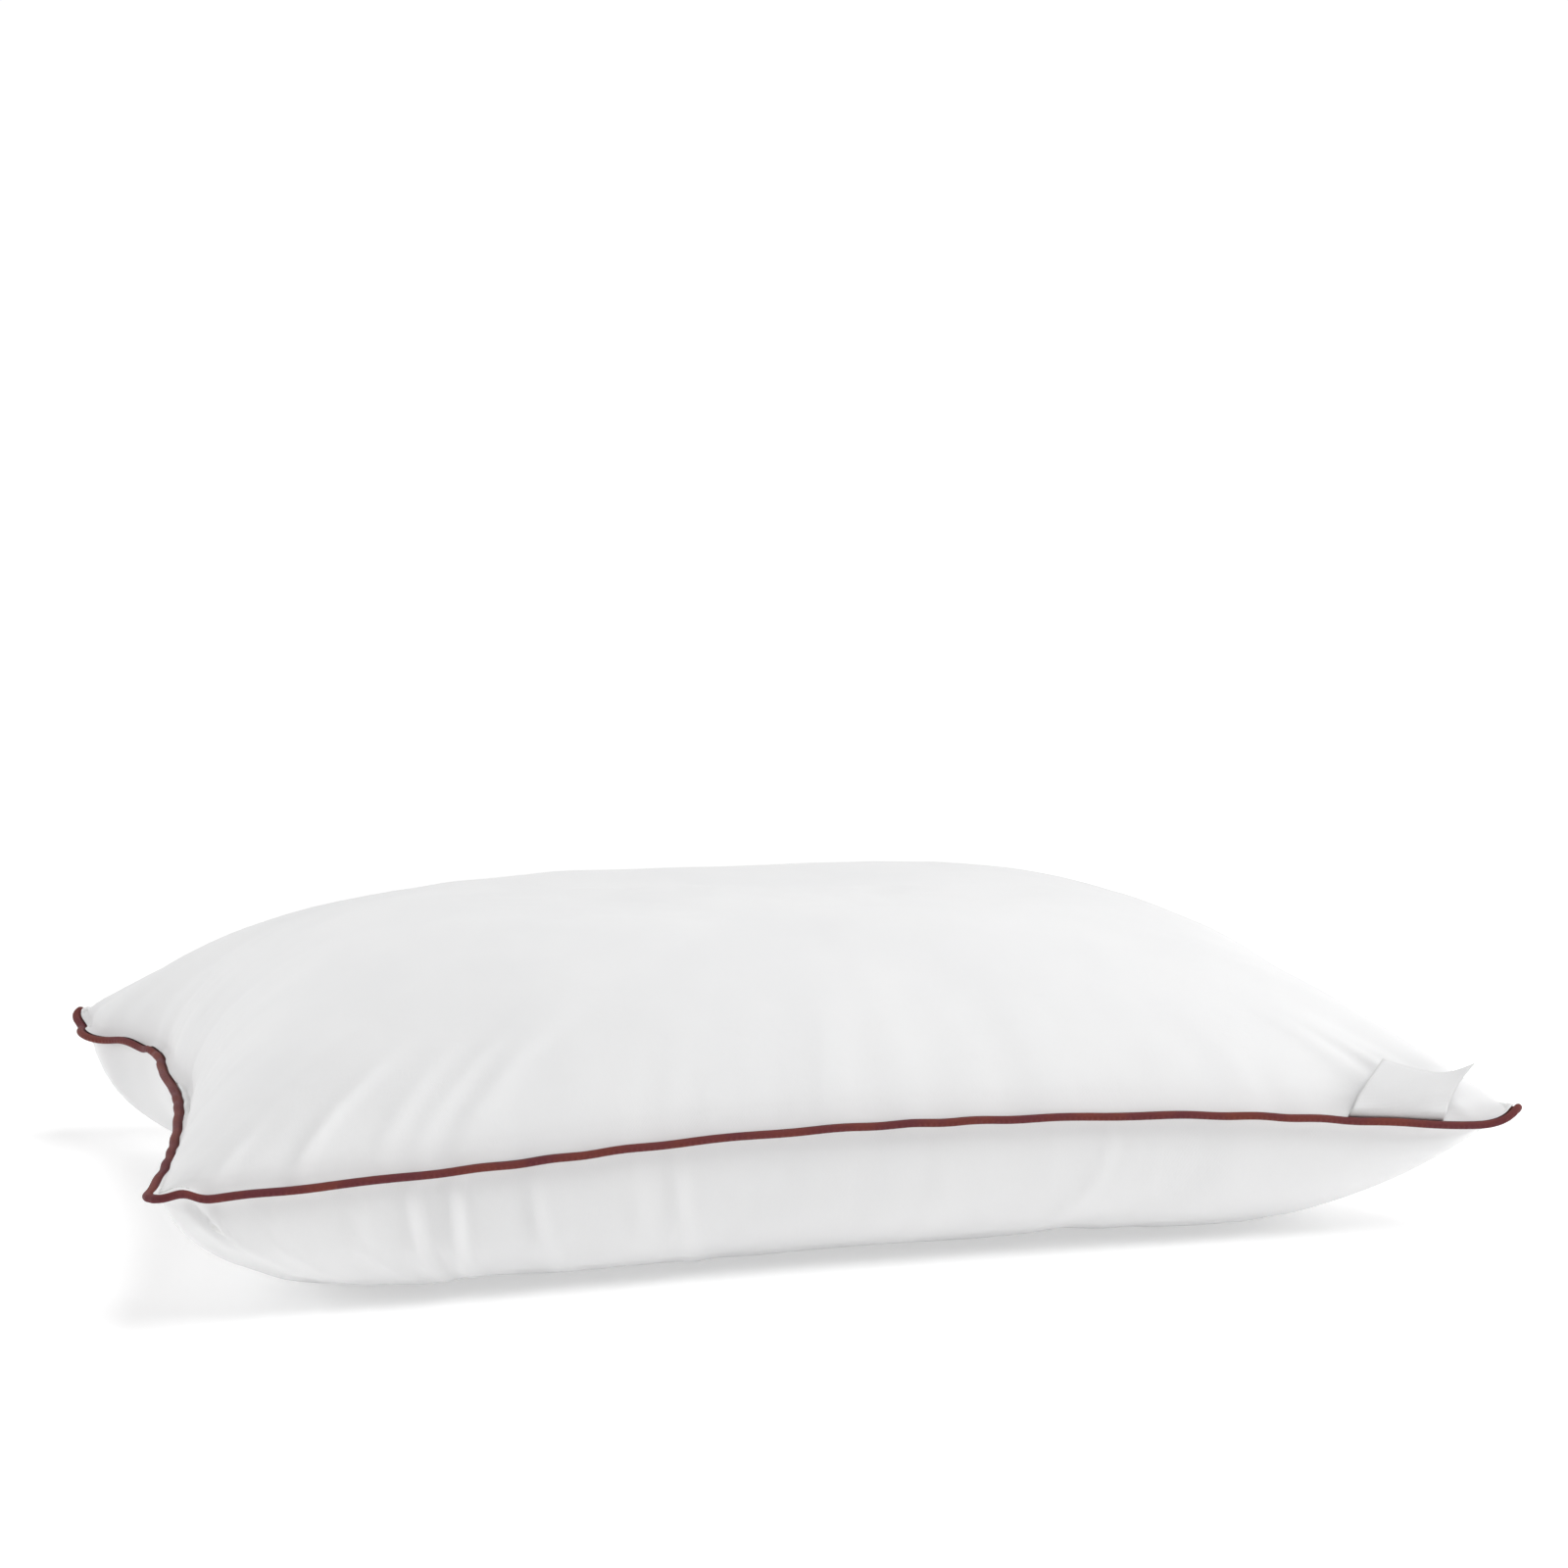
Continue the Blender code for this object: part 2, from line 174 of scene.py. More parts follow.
def seam_point(s, t):
    """A point of the seam's middle plane, for a place on the rim."""
    x, y = round_corner(s * HALF_LENGTH, t * HALF_WIDTH, HALF_LENGTH, HALF_WIDTH, CORNER_RADIUS)
    across = x / HALF_LENGTH
    along = y / HALF_WIDTH
    x -= math.copysign(WAIST_SHORT_SIDES * (1 - abs(along) ** 2.2), x) * abs(across)
    y -= math.copysign(WAIST_LONG_SIDES * (1 - across ** 2), y) * abs(along)
    strays = LEFT_STRAYS if x < 0 else RIGHT_STRAYS
    stray = sum(depth * bell(along, centre, width) for centre, width, depth in strays)
    x += stray * across ** 4 * (1 if x > 0 else -1)
    dips = FRONT_DIPS if y < 0 else BACK_DIPS
    middle = SEAM_HEIGHT_LONG_SIDES if abs(t) >= abs(s) else SEAM_HEIGHT_SHORT_SIDES
    z = corner_height(s, t)
    z += (middle - z) * (1 - min(abs(s), abs(t)) ** 2) ** 1.5
    z += sum(depth * bell(across, centre, width) for centre, width, depth in dips) * abs(along) ** 6
    lift, reach = CORNERS[(x > 0, y > 0)][1:]
    from_corner = math.hypot((1 - abs(s)) * HALF_LENGTH, (1 - abs(t)) * HALF_WIDTH)
    z += lift * bell(from_corner, 0, reach)
    wave = waviness(turn_of(s, t))
    return Vector((x * (1 + 2 * wave), y * (1 + 2 * wave), z + 0.8 * wave))


def seam_frame(turn):
    """Point, outward and onward directions of the seam."""
    point = seam_point(*place_at(turn))
    onward = seam_point(*place_at(turn + 0.004)) - seam_point(*place_at(turn - 0.004))
    onward.normalize()
    out = Vector((onward.y, -onward.x, 0.0)).normalized()
    return point, out, onward


def even_turns(count):
    """Turns that part the seam into steps of one length."""
    fine = 4000
    points = [seam_point(*place_at(4 * i / fine)) for i in range(fine + 1)]
    runs = [0.0]
    for before, after in zip(points, points[1:]):
        runs.append(runs[-1] + (after - before).length)
    turns = []
    k = 0
    for i in range(count):
        target = runs[-1] * i / count
        while runs[k + 1] < target:
            k += 1
        share = (target - runs[k]) / (runs[k + 1] - runs[k])
        turns.append(4 * (k + share) / fine)
    return turns


def closing_share(turn):
    """1 in the middle of the closed-up opening, 0 outside it."""
    return blend_in(CLOSING_HALF - abs(turn % 4 - CLOSING_MIDDLE), 0, 0.05)


# Materials

class Wire:
    """A socket in a material's nodes. Sums and products of wires add Math nodes."""

    def __init__(self, tree, socket=None):
        self.tree = tree
        self.socket = socket

    def node(self, kind, settings, values, result=0):
        """A new node: its settings are set first, then its sockets' values or links."""
        added = self.tree.nodes.new(kind)
        for name, setting in settings.items():
            setattr(added, name, setting)
        for name, value in values.items():
            if isinstance(value, Wire):
                self.tree.links.new(value.socket, added.inputs[name])
            else:
                added.inputs[name].default_value = value
        return Wire(self.tree, added.outputs[result])

    def math(self, operation, *values):
        return self.node("ShaderNodeMath", {"operation": operation}, dict(enumerate(values)))

    def __add__(self, other):
        return self.math("ADD", self, other)

    def __sub__(self, other):
        return self.math("SUBTRACT", self, other)

    def __rsub__(self, other):
        return self.math("SUBTRACT", other, self)

    def __mul__(self, other):
        return self.math("MULTIPLY", self, other)

    __radd__ = __add__
    __rmul__ = __mul__

    def sine(self):
        return self.math("SINE", self)

    def steep(self, low, high):
        """0 below low, 1 above high, and smooth between them."""
        settings = {"interpolation_type": "SMOOTHSTEP"}
        values = {"Value": self, "From Min": low, "From Max": high}
        return self.node("ShaderNodeMapRange", settings, values)

    def cloudy(self, place, scale, detail=2.0, roughness=0.5):
        values = {"Vector": place, "Scale": scale, "Detail": detail, "Roughness": roughness}
        return self.node("ShaderNodeTexNoise", {}, values)

    def mixed(self, share, one, other):
        settings = {"data_type": "RGBA"}
        return self.node("ShaderNodeMix", settings, {0: share, 6: one, 7: other}, 2)

    def parts(self, place):
        """The x and y of a vector."""
        split = self.node("ShaderNodeSeparateXYZ", {}, {0: place})
        return split, Wire(self.tree, split.socket.node.outputs[1])


def new_finish(name):
    material = bpy.data.materials.new(name)
    material.use_nodes = True
    return material, Wire(material.node_tree)


def dress(material, wires, colour, roughness, height, depth, strength=1.0, **constants):
    """Send the patterns to the material's shader."""
    shader = material.node_tree.nodes["Principled BSDF"]
    bump = wires.node("ShaderNodeBump", {}, {"Height": height, "Distance": depth, "Strength": strength})
    varied = {"Base Color": colour, "Roughness": roughness, "Normal": bump}
    for name, value in varied.items():
        wires.tree.links.new(value.socket, shader.inputs[name])
    for name, value in constants.items():
        shader.inputs[name.replace("_", " ")].default_value = value
    return material


def woven(wires, across, along, thread):
    """Over-and-under relief of a plain weave whose threads are this far apart."""
    turn = math.pi / thread
    warp = (across * turn).sine()
    weft = (along * turn).sine()
    return warp * weft


def shell_fabric():
    """Brushed white microfibre in a fine plain weave."""
    material, wires = new_finish("white_microfibre")
    cut = wires.node("ShaderNodeUVMap", {"uv_map": "cut"}, {})
    across, along = wires.parts(cut)
    weave = woven(wires, across, along, 0.00042)
    slub = wires.cloudy(cut, 900, 3.0)
    crumple = wires.cloudy(cut, 42, 4.0, 0.55)
    height = weave * 0.35 + slub * 0.9 + crumple * 5.0
    patchy = wires.cloudy(cut, 9, 3.0).steep(0.3, 0.7)
    colour = wires.mixed(patchy, (0.788, 0.789, 0.792, 1), (0.812, 0.812, 0.813, 1))
    # shade is painted shade: the colour is darkened where the weave's relief dips, in its hollows
    shade = wires.mixed(weave * 0.5 + 0.5, (0.955, 0.955, 0.957, 1), (1, 1, 1, 1))
    settings = {"data_type": "RGBA", "blend_type": "MULTIPLY"}
    colour = wires.node("ShaderNodeMix", settings, {0: 1.0, 6: colour, 7: shade}, 2)
    rough = slub * 0.12 + 0.78
    return dress(
        material, wires, colour, rough, height, 0.00012, 0.5,
        Sheen_Weight=0.12, Sheen_Roughness=0.5, Specular_IOR_Level=0.25,
    )


def piping_tape():
    """Maroon cotton tape cut on the bias, with the tucks that its stitching pulls into it."""
    material, wires = new_finish("maroon_bias_tape")
    run = wires.node("ShaderNodeUVMap", {"uv_map": "run"}, {})
    along, around = wires.parts(run)
    weave = woven(wires, along + around, along - around, 0.00062)
    slub = wires.cloudy(run, 500, 3.0)
    mouth = around.math("ABSOLUTE", around).steep(0.0052, 0.0066)
    tucks = (along * (2 * math.pi / 0.003)).sine() * mouth
    height = weave * 0.8 + slub * 0.8 + tucks * 2.2
    patchy = wires.cloudy(run, 30, 3.0).steep(0.35, 0.65)
    colour = wires.mixed(patchy, (0.170, 0.038, 0.028, 1), (0.128, 0.027, 0.033, 1))
    # threads and shade paint the weave's light: painted shade in its hollows and painted highlight on its
    # crests, mixed with random slub tone
    threads = (weave * 0.5 + 0.5) * 0.6 + slub * 0.4
    shade = wires.mixed(threads, (0.62, 0.60, 0.62, 1), (1.25, 1.25, 1.22, 1))
    settings = {"data_type": "RGBA", "blend_type": "MULTIPLY"}
    colour = wires.node("ShaderNodeMix", settings, {0: 1.0, 6: colour, 7: shade}, 2)
    rough = slub * 0.2 + 0.6
    return dress(
        material, wires, colour, rough, height, 0.00008, 0.8,
        Sheen_Weight=0.04, Sheen_Roughness=0.4, Specular_IOR_Level=0.2,
    )


def twisted_yarn(name, dark, light, pitch, depth):
    """Yarn or cord whose plies run round it."""
    material, wires = new_finish(name)
    run = wires.node("ShaderNodeUVMap", {"uv_map": "run"}, {})
    along, around = wires.parts(run)
    plies = (along * (2 * math.pi / pitch) + around * (2 * math.pi)).sine() * 0.5 + 0.5
    fuzz = wires.cloudy(run, 1500, 2.0)
    # the plies' colour is painted shade in the grooves between them and painted highlight on their crests,
    # mixed with random fuzz tone
    colour = wires.mixed(plies * 0.7 + fuzz * 0.3, dark, light)
    return dress(
        material, wires, colour, fuzz * 0.3 + 0.45, plies + fuzz * 0.3, depth, 0.7,
        Sheen_Weight=0.1, Specular_IOR_Level=0.4,
    )


def polyester_fibre():
    """Loose white fibre."""
    material, wires = new_finish("polyester_fibre")
    place = wires.node("ShaderNodeTexCoord", {}, {}, 3)
    wisps = wires.cloudy(place, 160, 6.0, 0.75)
    lumps = wires.cloudy(place, 18, 3.0)
    colour = wires.mixed(wisps * 0.6 + lumps * 0.4, (0.80, 0.80, 0.79, 1), (0.95, 0.95, 0.94, 1))
    return dress(
        material, wires, colour, wisps * 0.1 + 0.88, wisps + lumps * 2, 0.002, 0.8,
        Sheen_Weight=0.4, Specular_IOR_Level=0.2,
    )


def label_fabric():
    """Thin pressed fabric with fine cross ribs, left blank."""
    material, wires = new_finish("label_fabric")
    cut = wires.node("ShaderNodeUVMap", {"uv_map": "cut"}, {})
    across, along = wires.parts(cut)
    ribs = (along * (2 * math.pi / 0.0007)).sine()
    fibres = wires.cloudy(cut, 1300, 3.0)
    clouds = wires.cloudy(cut, 70, 3.0)
    colour = wires.mixed(fibres * 0.5 + clouds * 0.5, (0.675, 0.675, 0.68, 1), (0.73, 0.73, 0.73, 1))
    return dress(
        material, wires, colour, fibres * 0.2 + 0.6, ribs * 0.4 + fibres + clouds * 2, 0.00006, 0.6,
        Sheen_Weight=0.05, Specular_IOR_Level=0.3,
    )


# Pieces

def new_object(name, bm, material):
    mesh = bpy.data.meshes.new(name)
    bm.to_mesh(mesh)
    bm.free()
    mesh.shade_smooth()
    mesh.materials.clear()
    mesh.materials.append(material)
    piece = bpy.data.objects.new(name, mesh)
    bpy.context.scene.collection.objects.link(piece)
    return piece


def keep_result(piece):
    """Apply the piece's modifiers and shape keys to its mesh."""
    seen = piece.evaluated_get(bpy.context.evaluated_depsgraph_get())
    result = bpy.data.meshes.new_from_object(seen)
    if piece.data.shape_keys:
        piece.shape_key_clear()
    piece.modifiers.clear()
    piece.data = result


def thicken(piece, thickness):
    wall = piece.modifiers.new("thickness", "SOLIDIFY")
    wall.thickness = thickness
    wall.offset = -1.0
    wall.use_rim = True
    keep_result(piece)


def crown(s, t, side):
    """Share of the full height, lengthwise and widthwise."""
    shape = 1.0
    shoulders = TOP_SHOULDERS if side > 0 else BOTTOM_SHOULDERS
    for place, (flatness, fullness) in zip((s, t), shoulders):
        shape *= max(0.0, 1 - abs(place) ** flatness) ** fullness
    return shape if side > 0 else shape ** (1 + SLACK_TO_RIGHT * s)


def start_point(s, t, side):
    """Where a place of the cover starts, before it is blown up."""
    ring = max(abs(s), abs(t))
    middle = (SEAM_HEIGHT_LONG_SIDES + SEAM_HEIGHT_SHORT_SIDES) / 2
    if ring < NO_RING:
        return Vector((0, 0, middle + START_RISE if side > 0 else OFF_FLOOR))
    edge = seam_point(s / ring, t / ring)
    z = edge.z * ring ** 2 + middle * (1 - ring ** 2)
    z += crown(s, t, side) * (START_RISE if side > 0 else -START_DROP)
    return Vector((edge.x * ring, edge.y * ring, max(OFF_FLOOR, z)))


def cut_point(s, t):
    """The same place on the flat panel as it was cut."""
    ring = max(abs(s), abs(t))
    if ring < NO_RING:
        return 0.0, 0.0
    x, y = round_corner(
        s / ring * CUT_LENGTH / 2, t / ring * CUT_WIDTH / 2, CUT_LENGTH / 2, CUT_WIDTH / 2, CUT_CORNER
    )
    return x * ring, y * ring


def start_cover():
    """Both panels as grids, joined at the seam. Each point keeps its place and its side."""
    bm = bmesh.new()
    place = bm.verts.layers.float_vector.new("place")
    underside = bm.faces.layers.int.new("underside")
    bmesh.ops.create_grid(
        bm, x_segments=round(CUT_LENGTH / CELL), y_segments=round(CUT_WIDTH / CELL), size=1.0
    )
    copied = bmesh.ops.duplicate(bm, geom=bm.verts[:] + bm.edges[:] + bm.faces[:])
    lower = [item for item in copied["geom"] if isinstance(item, bmesh.types.BMFace)]
    for vert in bm.verts:
        vert[place] = (vert.co.x, vert.co.y, 1)
    for face in lower:
        face[underside] = 1
        for vert in face.verts:
            vert[place] = (vert.co.x, vert.co.y, -1)
    bmesh.ops.reverse_faces(bm, faces=lower)
    for vert in bm.verts:
        vert.co = start_point(*vert[place])
    bmesh.ops.remove_doubles(bm, verts=bm.verts, dist=1e-6)
    return bm


def ring_of(place):
    return max(abs(place[0]), abs(place[1]))


def room_from_seam(place):
    """Metres from the seam, across the panel."""
    return (1 - ring_of(place)) * (HALF_WIDTH if abs(place[1]) >= abs(place[0]) else HALF_LENGTH)


def blow_up(cover, frames):
    """Pump the cover up on the floor, its seam held, until it settles."""
    scene = bpy.context.scene
    places = [item.vector.copy() for item in cover.data.attributes["place"].data]
    cover.shape_key_add(name="Basis")
    cut = cover.shape_key_add(name="cut")
    for i, place in enumerate(places):
        cut.data[i].co = (*cut_point(place.x, place.y), 0.0)
    held = cover.vertex_groups.new(name="seam")
    held.add([i for i, place in enumerate(places) if ring_of(place) > ON_SEAM], 1.0, "REPLACE")
    boards = []
    for name, height in (("table", 0.0), ("press", LOFT + CROWN_SPARE)):
        bm = bmesh.new()
        bmesh.ops.create_grid(bm, x_segments=2, y_segments=2, size=1.5)
        if height:
            bmesh.ops.reverse_faces(bm, faces=bm.faces)
        bmesh.ops.translate(bm, verts=bm.verts, vec=(0, 0, height))
        board = new_object(name, bm, cover.data.materials[0])
        board.modifiers.new("stop", "COLLISION")
        board.collision.thickness_outer = 0.0005
        board.collision.cloth_friction = 5
        boards.append(board)
    cloth = cover.modifiers.new("cloth", "CLOTH")
    settings = cloth.settings
    settings.quality = 5
    settings.mass = 0.02
    settings.air_damping = 1.0
    settings.tension_stiffness = 20
    settings.compression_stiffness = 20
    settings.shear_stiffness = 5
    settings.bending_stiffness = 0.05
    settings.tension_damping = 5
    settings.compression_damping = 5
    settings.shear_damping = 5
    settings.bending_damping = 0.5
    settings.vertex_group_mass = "seam"
    settings.pin_stiffness = 1
    settings.rest_shape_key = cut
    settings.use_pressure = True
    settings.uniform_pressure_force = 10
    settings.effector_weights.gravity = 0.5
    cloth.collision_settings.distance_min = 0.001
    cloth.collision_settings.use_self_collision = False
    cloth.point_cache.frame_end = frames + 1
    scene.frame_start = 1
    scene.frame_end = frames + 1
    for number in range(1, frames + 1):
        scene.frame_set(number)
    keep_result(cover)
    for board in boards:
        bpy.data.objects.remove(board, do_unlink=True)
    scene.frame_set(1)


def refine(cover):
    """Halve the cover's cells, with the seam kept in place."""
    finer = cover.modifiers.new("finer", "SUBSURF")
    finer.levels = 1
    finer.render_levels = 1
    keep_result(cover)


def make_cover():
    bm = start_cover()
    cover = new_object("cover", bm, bpy.data.materials.new("cover"))
    blow_up(cover, 24)
    return cover


# Folds that the seam gathers into the cloth: turn, lean, width, length, height
TOP_FOLDS = [
    (0.093, 0.10, 0.0040, 0.034, 0.0021),
    (0.038, -0.10, 0.0032, 0.016, 0.0016),
    (0.176, 0.35, 0.0050, 0.050, 0.0014),
    (0.205, 0.45, 0.0055, 0.060, 0.0012),
    (0.150, 0.10, 0.0045, 0.030, 0.0010),
    (0.355, 0.05, 0.0060, 0.045, 0.0007),
    (0.900, -0.30, 0.0050, 0.030, 0.0010),
    (0.940, -0.50, 0.0040, 0.026, 0.0020),
    (0.965, -0.60, 0.0035, 0.022, 0.0020),
]
BOTTOM_FOLDS = [
    (0.024, 0.25, 0.0030, 0.012, -0.0040),
    (0.034, 0.10, 0.0035, 0.015, 0.0026),
    (0.070, 0.00, 0.0034, 0.026, 0.0018),
    (0.128, -0.05, 0.0040, 0.032, 0.0016),
    (0.170, -0.40, 0.0032, 0.034, 0.0024),
    (0.182, -0.30, 0.0030, 0.028, -0.0016),
    (0.201, -0.55, 0.0032, 0.034, 0.0024),
    (0.213, -0.50, 0.0030, 0.030, -0.0014),
    (0.257, -0.15, 0.0034, 0.034, 0.0018),
    (0.360, 0.05, 0.0038, 0.046, 0.0016),
    (0.330, 0.05, 0.0038, 0.024, 0.0009),
    (0.560, 0.10, 0.0050, 0.030, 0.0006),
    (0.690, -0.20, 0.0045, 0.032, 0.0010),
]
FOLD_REACH = 0.12          # no fold is felt further off than this, in metres or in turns


def gathered(seed, given):
    """The given folds, and random ones all round the seam, weaker where the given ones are."""
    draw = random.Random(seed)
    folds = list(given)
    turn = 0.0
    while turn < 4:
        side = int(turn)
        turn += draw.uniform(0.016, 0.040) * (1 if side % 2 == 0 else 1.5)
        strength = 0.25 if turn < 1 else 1.0
        lean = draw.gauss(0.0, 0.2)
        width = draw.uniform(0.0030, 0.0065)
        length = draw.uniform(0.012, 0.045)
        height = draw.uniform(0.0003, 0.0012) * strength * draw.choice((1, 1, -0.7))
        folds.append((turn % 4, lean, width, length, height))
    return folds


def side_length(turn):
    return 2 * HALF_LENGTH if int(turn) % 2 == 0 else 2 * HALF_WIDTH


def fold_height(folds, turn, inward):
    """How far the folds lift the cloth at a distance inward from the seam."""
    if inward > FOLD_REACH:
        return 0.0
    rise = 0.0
    for middle, lean, width, length, height in folds:
        away = (turn - middle + 2) % 4 - 2
        if abs(away) > FOLD_REACH:
            continue
        beside = away * side_length(middle) - lean * inward
        spread = width * (1 + inward / 0.03)
        if abs(beside) < 3 * spread and inward < 3 * length:
            rise += height * bell(beside, 0, spread) * bell(inward, 0.35 * length, length)
    return rise * (1 - math.exp(-inward / 0.003))


def lumpy(point, seed):
    """Soft unevenness of the filling under the cloth."""
    rise = 0.0022 * noise.noise(point * 9 + Vector((seed, 0, 0)))
    return rise + 0.0007 * noise.noise(point * 26 + Vector((0, seed, 0)))


def panel_sheet(name, cover, side, seat, folds, material):
    """One panel out of the cover, with its folds and its allowance turned in."""
    bm = bmesh.new()
    bm.from_mesh(cover.data)
    place = bm.verts.layers.float_vector["place"]
    underside = bm.faces.layers.int["underside"]
    others = [face for face in bm.faces if (face[underside] > 0) == (side > 0)]
    bmesh.ops.delete(bm, geom=others, context="FACES")
    near = [
        edge for edge in bm.edges
        if max(room_from_seam(vert[place]) for vert in edge.verts) < FINE_BORDER
    ]
    bmesh.ops.subdivide_edges(bm, edges=near, cuts=1, use_grid_fill=True)
    bm.normal_update()
    flat = bm.loops.layers.uv.new("cut")
    for face in bm.faces:
        for loop in face.loops:
            loop[flat].uv = cut_point(*loop.vert[place].xy)
    moves = {}
    for vert in bm.verts:
        s, t = vert[place].xy
        ring = max(abs(s), abs(t), NO_RING)
        turn = turn_of(s / ring, t / ring)
        across = HALF_WIDTH if int(turn) % 2 == 0 else HALF_LENGTH
        inward = (1 - ring) * across
        point, out, onward = seam_frame(turn)
        setback = CLOSING_SETBACK * closing_share(turn) if side > 0 else 0.0
        if ring > ON_SEAM:
            moves[vert] = point - out * setback + Vector((0, 0, side * seat))
            continue
        free = 1 - math.exp(-inward / 0.02)
        rise = fold_height(folds, turn, inward) + lumpy(vert.co, side * 7.3) * free
        if vert.co.z < 0.004:
            rise = 0.0
        fade = math.exp(-inward / 0.008)
        shift = vert.normal * rise - out * setback * fade + Vector((0, 0, side * seat * fade))
        moves[vert] = vert.co + shift
    for vert, point in moves.items():
        vert.co = (point.x, point.y, max(0.0004, point.z))
    rim = [edge for edge in bm.edges if edge.is_boundary]
    for edge in rim:
        edge.smooth = False
    for inset in (TURN_IN, SEAM_ALLOWANCE):
        grown = bmesh.ops.extrude_edge_only(bm, edges=rim)["geom"]
        rim = [item for item in grown if isinstance(item, bmesh.types.BMEdge)]
        for vert in {item for item in grown if isinstance(item, bmesh.types.BMVert)}:
            s, t = vert[place].xy
            point, out, onward = seam_frame(turn_of(s, t))
            vert.co = point - out * inset + Vector((0, 0, side * (seat + TURN_LIFT)))
    bmesh.ops.recalc_face_normals(bm, faces=bm.faces)
    highest = max(bm.faces, key=lambda face: side * face.calc_center_median().z)
    if highest.normal.z * side < 0:
        bmesh.ops.reverse_faces(bm, faces=bm.faces)
    panel = new_object(name, bm, material)
    thicken(panel, FABRIC)
    return panel


def make_filling(cover, material):
    """The fibre filling: the cover's shape, drawn in from the seam."""
    bm = bmesh.new()
    bm.from_mesh(cover.data)
    place = bm.verts.layers.float_vector["place"]
    edge = [face for face in bm.faces if any(ring_of(vert[place]) > 0.965 for vert in face.verts)]
    bmesh.ops.delete(bm, geom=edge, context="FACES")
    rims = [edge for edge in bm.edges if edge.is_boundary]
    bmesh.ops.bridge_loops(bm, edges=rims)
    bmesh.ops.recalc_face_normals(bm, faces=bm.faces)
    bm.normal_update()
    for vert in bm.verts:
        depth = 0.0035 + 0.002 * noise.noise(vert.co * 30)
        vert.co -= vert.normal * depth
        vert.co.z = max(vert.co.z, 0.0025)
    return new_object("filling", bm, material)


def round_the_seam(name, steps, sides, girth, shape, material, share=None):
    """A tube round the seam, where share is above 0. shape gives side j's offsets at step i."""
    bm = bmesh.new()
    bmesh.ops.create_grid(bm, x_segments=steps, y_segments=sides, size=1.0)
    run = bm.loops.layers.uv.new("run")
    for face in bm.faces:
        for loop in face.loops:
            along, around = loop.vert.co.x + 1, loop.vert.co.y
            loop[run].uv = (along / 2 * SEAM_RUN, around * girth / 2)
    turns = even_turns(steps)
    frames = [seam_frame(turn) for turn in turns]
    spare = []
    for vert in bm.verts:
        i = round((vert.co.x + 1) / 2 * steps) % steps
        j = round((vert.co.y + 1) / 2 * sides) % sides
        point, out, onward = frames[i]
        outward, up, forward = shape(i, j)
        vert.co = point + out * outward + onward * forward + Vector((0, 0, up))
        if share and share(turns[i]) <= 0:
            spare.append(vert)
    if spare:
        bmesh.ops.delete(bm, geom=spare, context="VERTS")
    bmesh.ops.remove_doubles(bm, verts=bm.verts, dist=1e-7)
    if spare:
        bmesh.ops.holes_fill(bm, edges=[edge for edge in bm.edges if edge.is_boundary])
    bmesh.ops.recalc_face_normals(bm, faces=bm.faces)
    return new_object(name, bm, material)


def arc(centre, radius, start, end, steps):
    points = []
    for i in range(steps + 1):
        angle = start + (end - start) * i / steps
        points.append((centre + radius * math.cos(angle), radius * math.sin(angle)))
    return points


def tape_section():
    """Tape folded round the cord: its outer face from ply to ply, then back along its inner face."""
    mouth = math.asin(TAPE_OUTER / PIPING_RADIUS)
    bore = PIPING_RADIUS - TAPE
    lips = math.asin(TAPE_INNER / bore)
    section = [(-SEAM_ALLOWANCE, -TAPE_OUTER)]
    section += arc(PIPING_CENTRE, PIPING_RADIUS, -math.pi + mouth, math.pi - mouth, 16)
    section += [(-SEAM_ALLOWANCE, TAPE_OUTER), (-SEAM_ALLOWANCE, TAPE_INNER)]
    section += arc(PIPING_CENTRE, bore, math.pi - lips, -math.pi + lips, 9)
    section += [(-SEAM_ALLOWANCE, -TAPE_INNER)]
    return section


def make_piping(material):
    section = tape_section()
    girth = 2 * SEAM_ALLOWANCE + 2 * math.pi * PIPING_RADIUS
    join = round(3.42 / 4 * SEAM_STEPS)

    def shape(i, j):
        out, up = section[j]
        if out <= 0:
            return out, up, 0.0
        place = Vector((i * 0.05, 3.1, 0.0))
        swell = 1 + 0.05 * noise.noise(place)
        if join <= i < join + 8:
            swell += 0.10
        sway = 0.00035 * noise.noise(place * 0.5 + Vector((0, 9, 0)))
        return PIPING_CENTRE + (out - PIPING_CENTRE) * swell, up * swell + sway, 0.0

    return round_the_seam("piping_tape", SEAM_STEPS, len(section), girth, shape, material)


def make_cord(material):
    sides = 12
    core = PIPING_RADIUS - TAPE - 0.0003

    def shape(i, j):
        angle = 2 * math.pi * j / sides
        strands = math.cos(3 * angle - i * 0.9)
        radius = core * (0.92 + 0.08 * strands)
        return PIPING_CENTRE + radius * math.cos(angle), radius * math.sin(angle), 0.0

    return round_the_seam("piping_cord_strands", 1200, sides, 0.012, shape, material)


def make_edging(material):
    """Overlock thread, wound over the raw edges of all the allowances."""
    coils = 790
    per_coil = 8
    thread = 0.00018
    reach = 0.0021
    top = TOP_SEAT + FABRIC + 0.0004
    bottom = -BOTTOM_SEAT - FABRIC - 0.0004
    middle = (top + bottom) / 2
    tall = (top - bottom) / 2 + thread

    def shape(i, j):
        angle = 2 * math.pi * (i % per_coil) / per_coil
        around = 2 * math.pi * j / 4
        out = math.copysign(abs(math.cos(angle)) ** 0.6, math.cos(angle))
        up = math.copysign(abs(math.sin(angle)) ** 0.6, math.sin(angle))
        fat = thread * math.cos(around)
        centre = -SEAM_ALLOWANCE + reach - 0.0006
        return centre + out * (reach + fat), middle + up * (tall + fat), thread * math.sin(around)

    return round_the_seam("edging_thread", coils * per_coil, 4, 0.0012, shape, material)


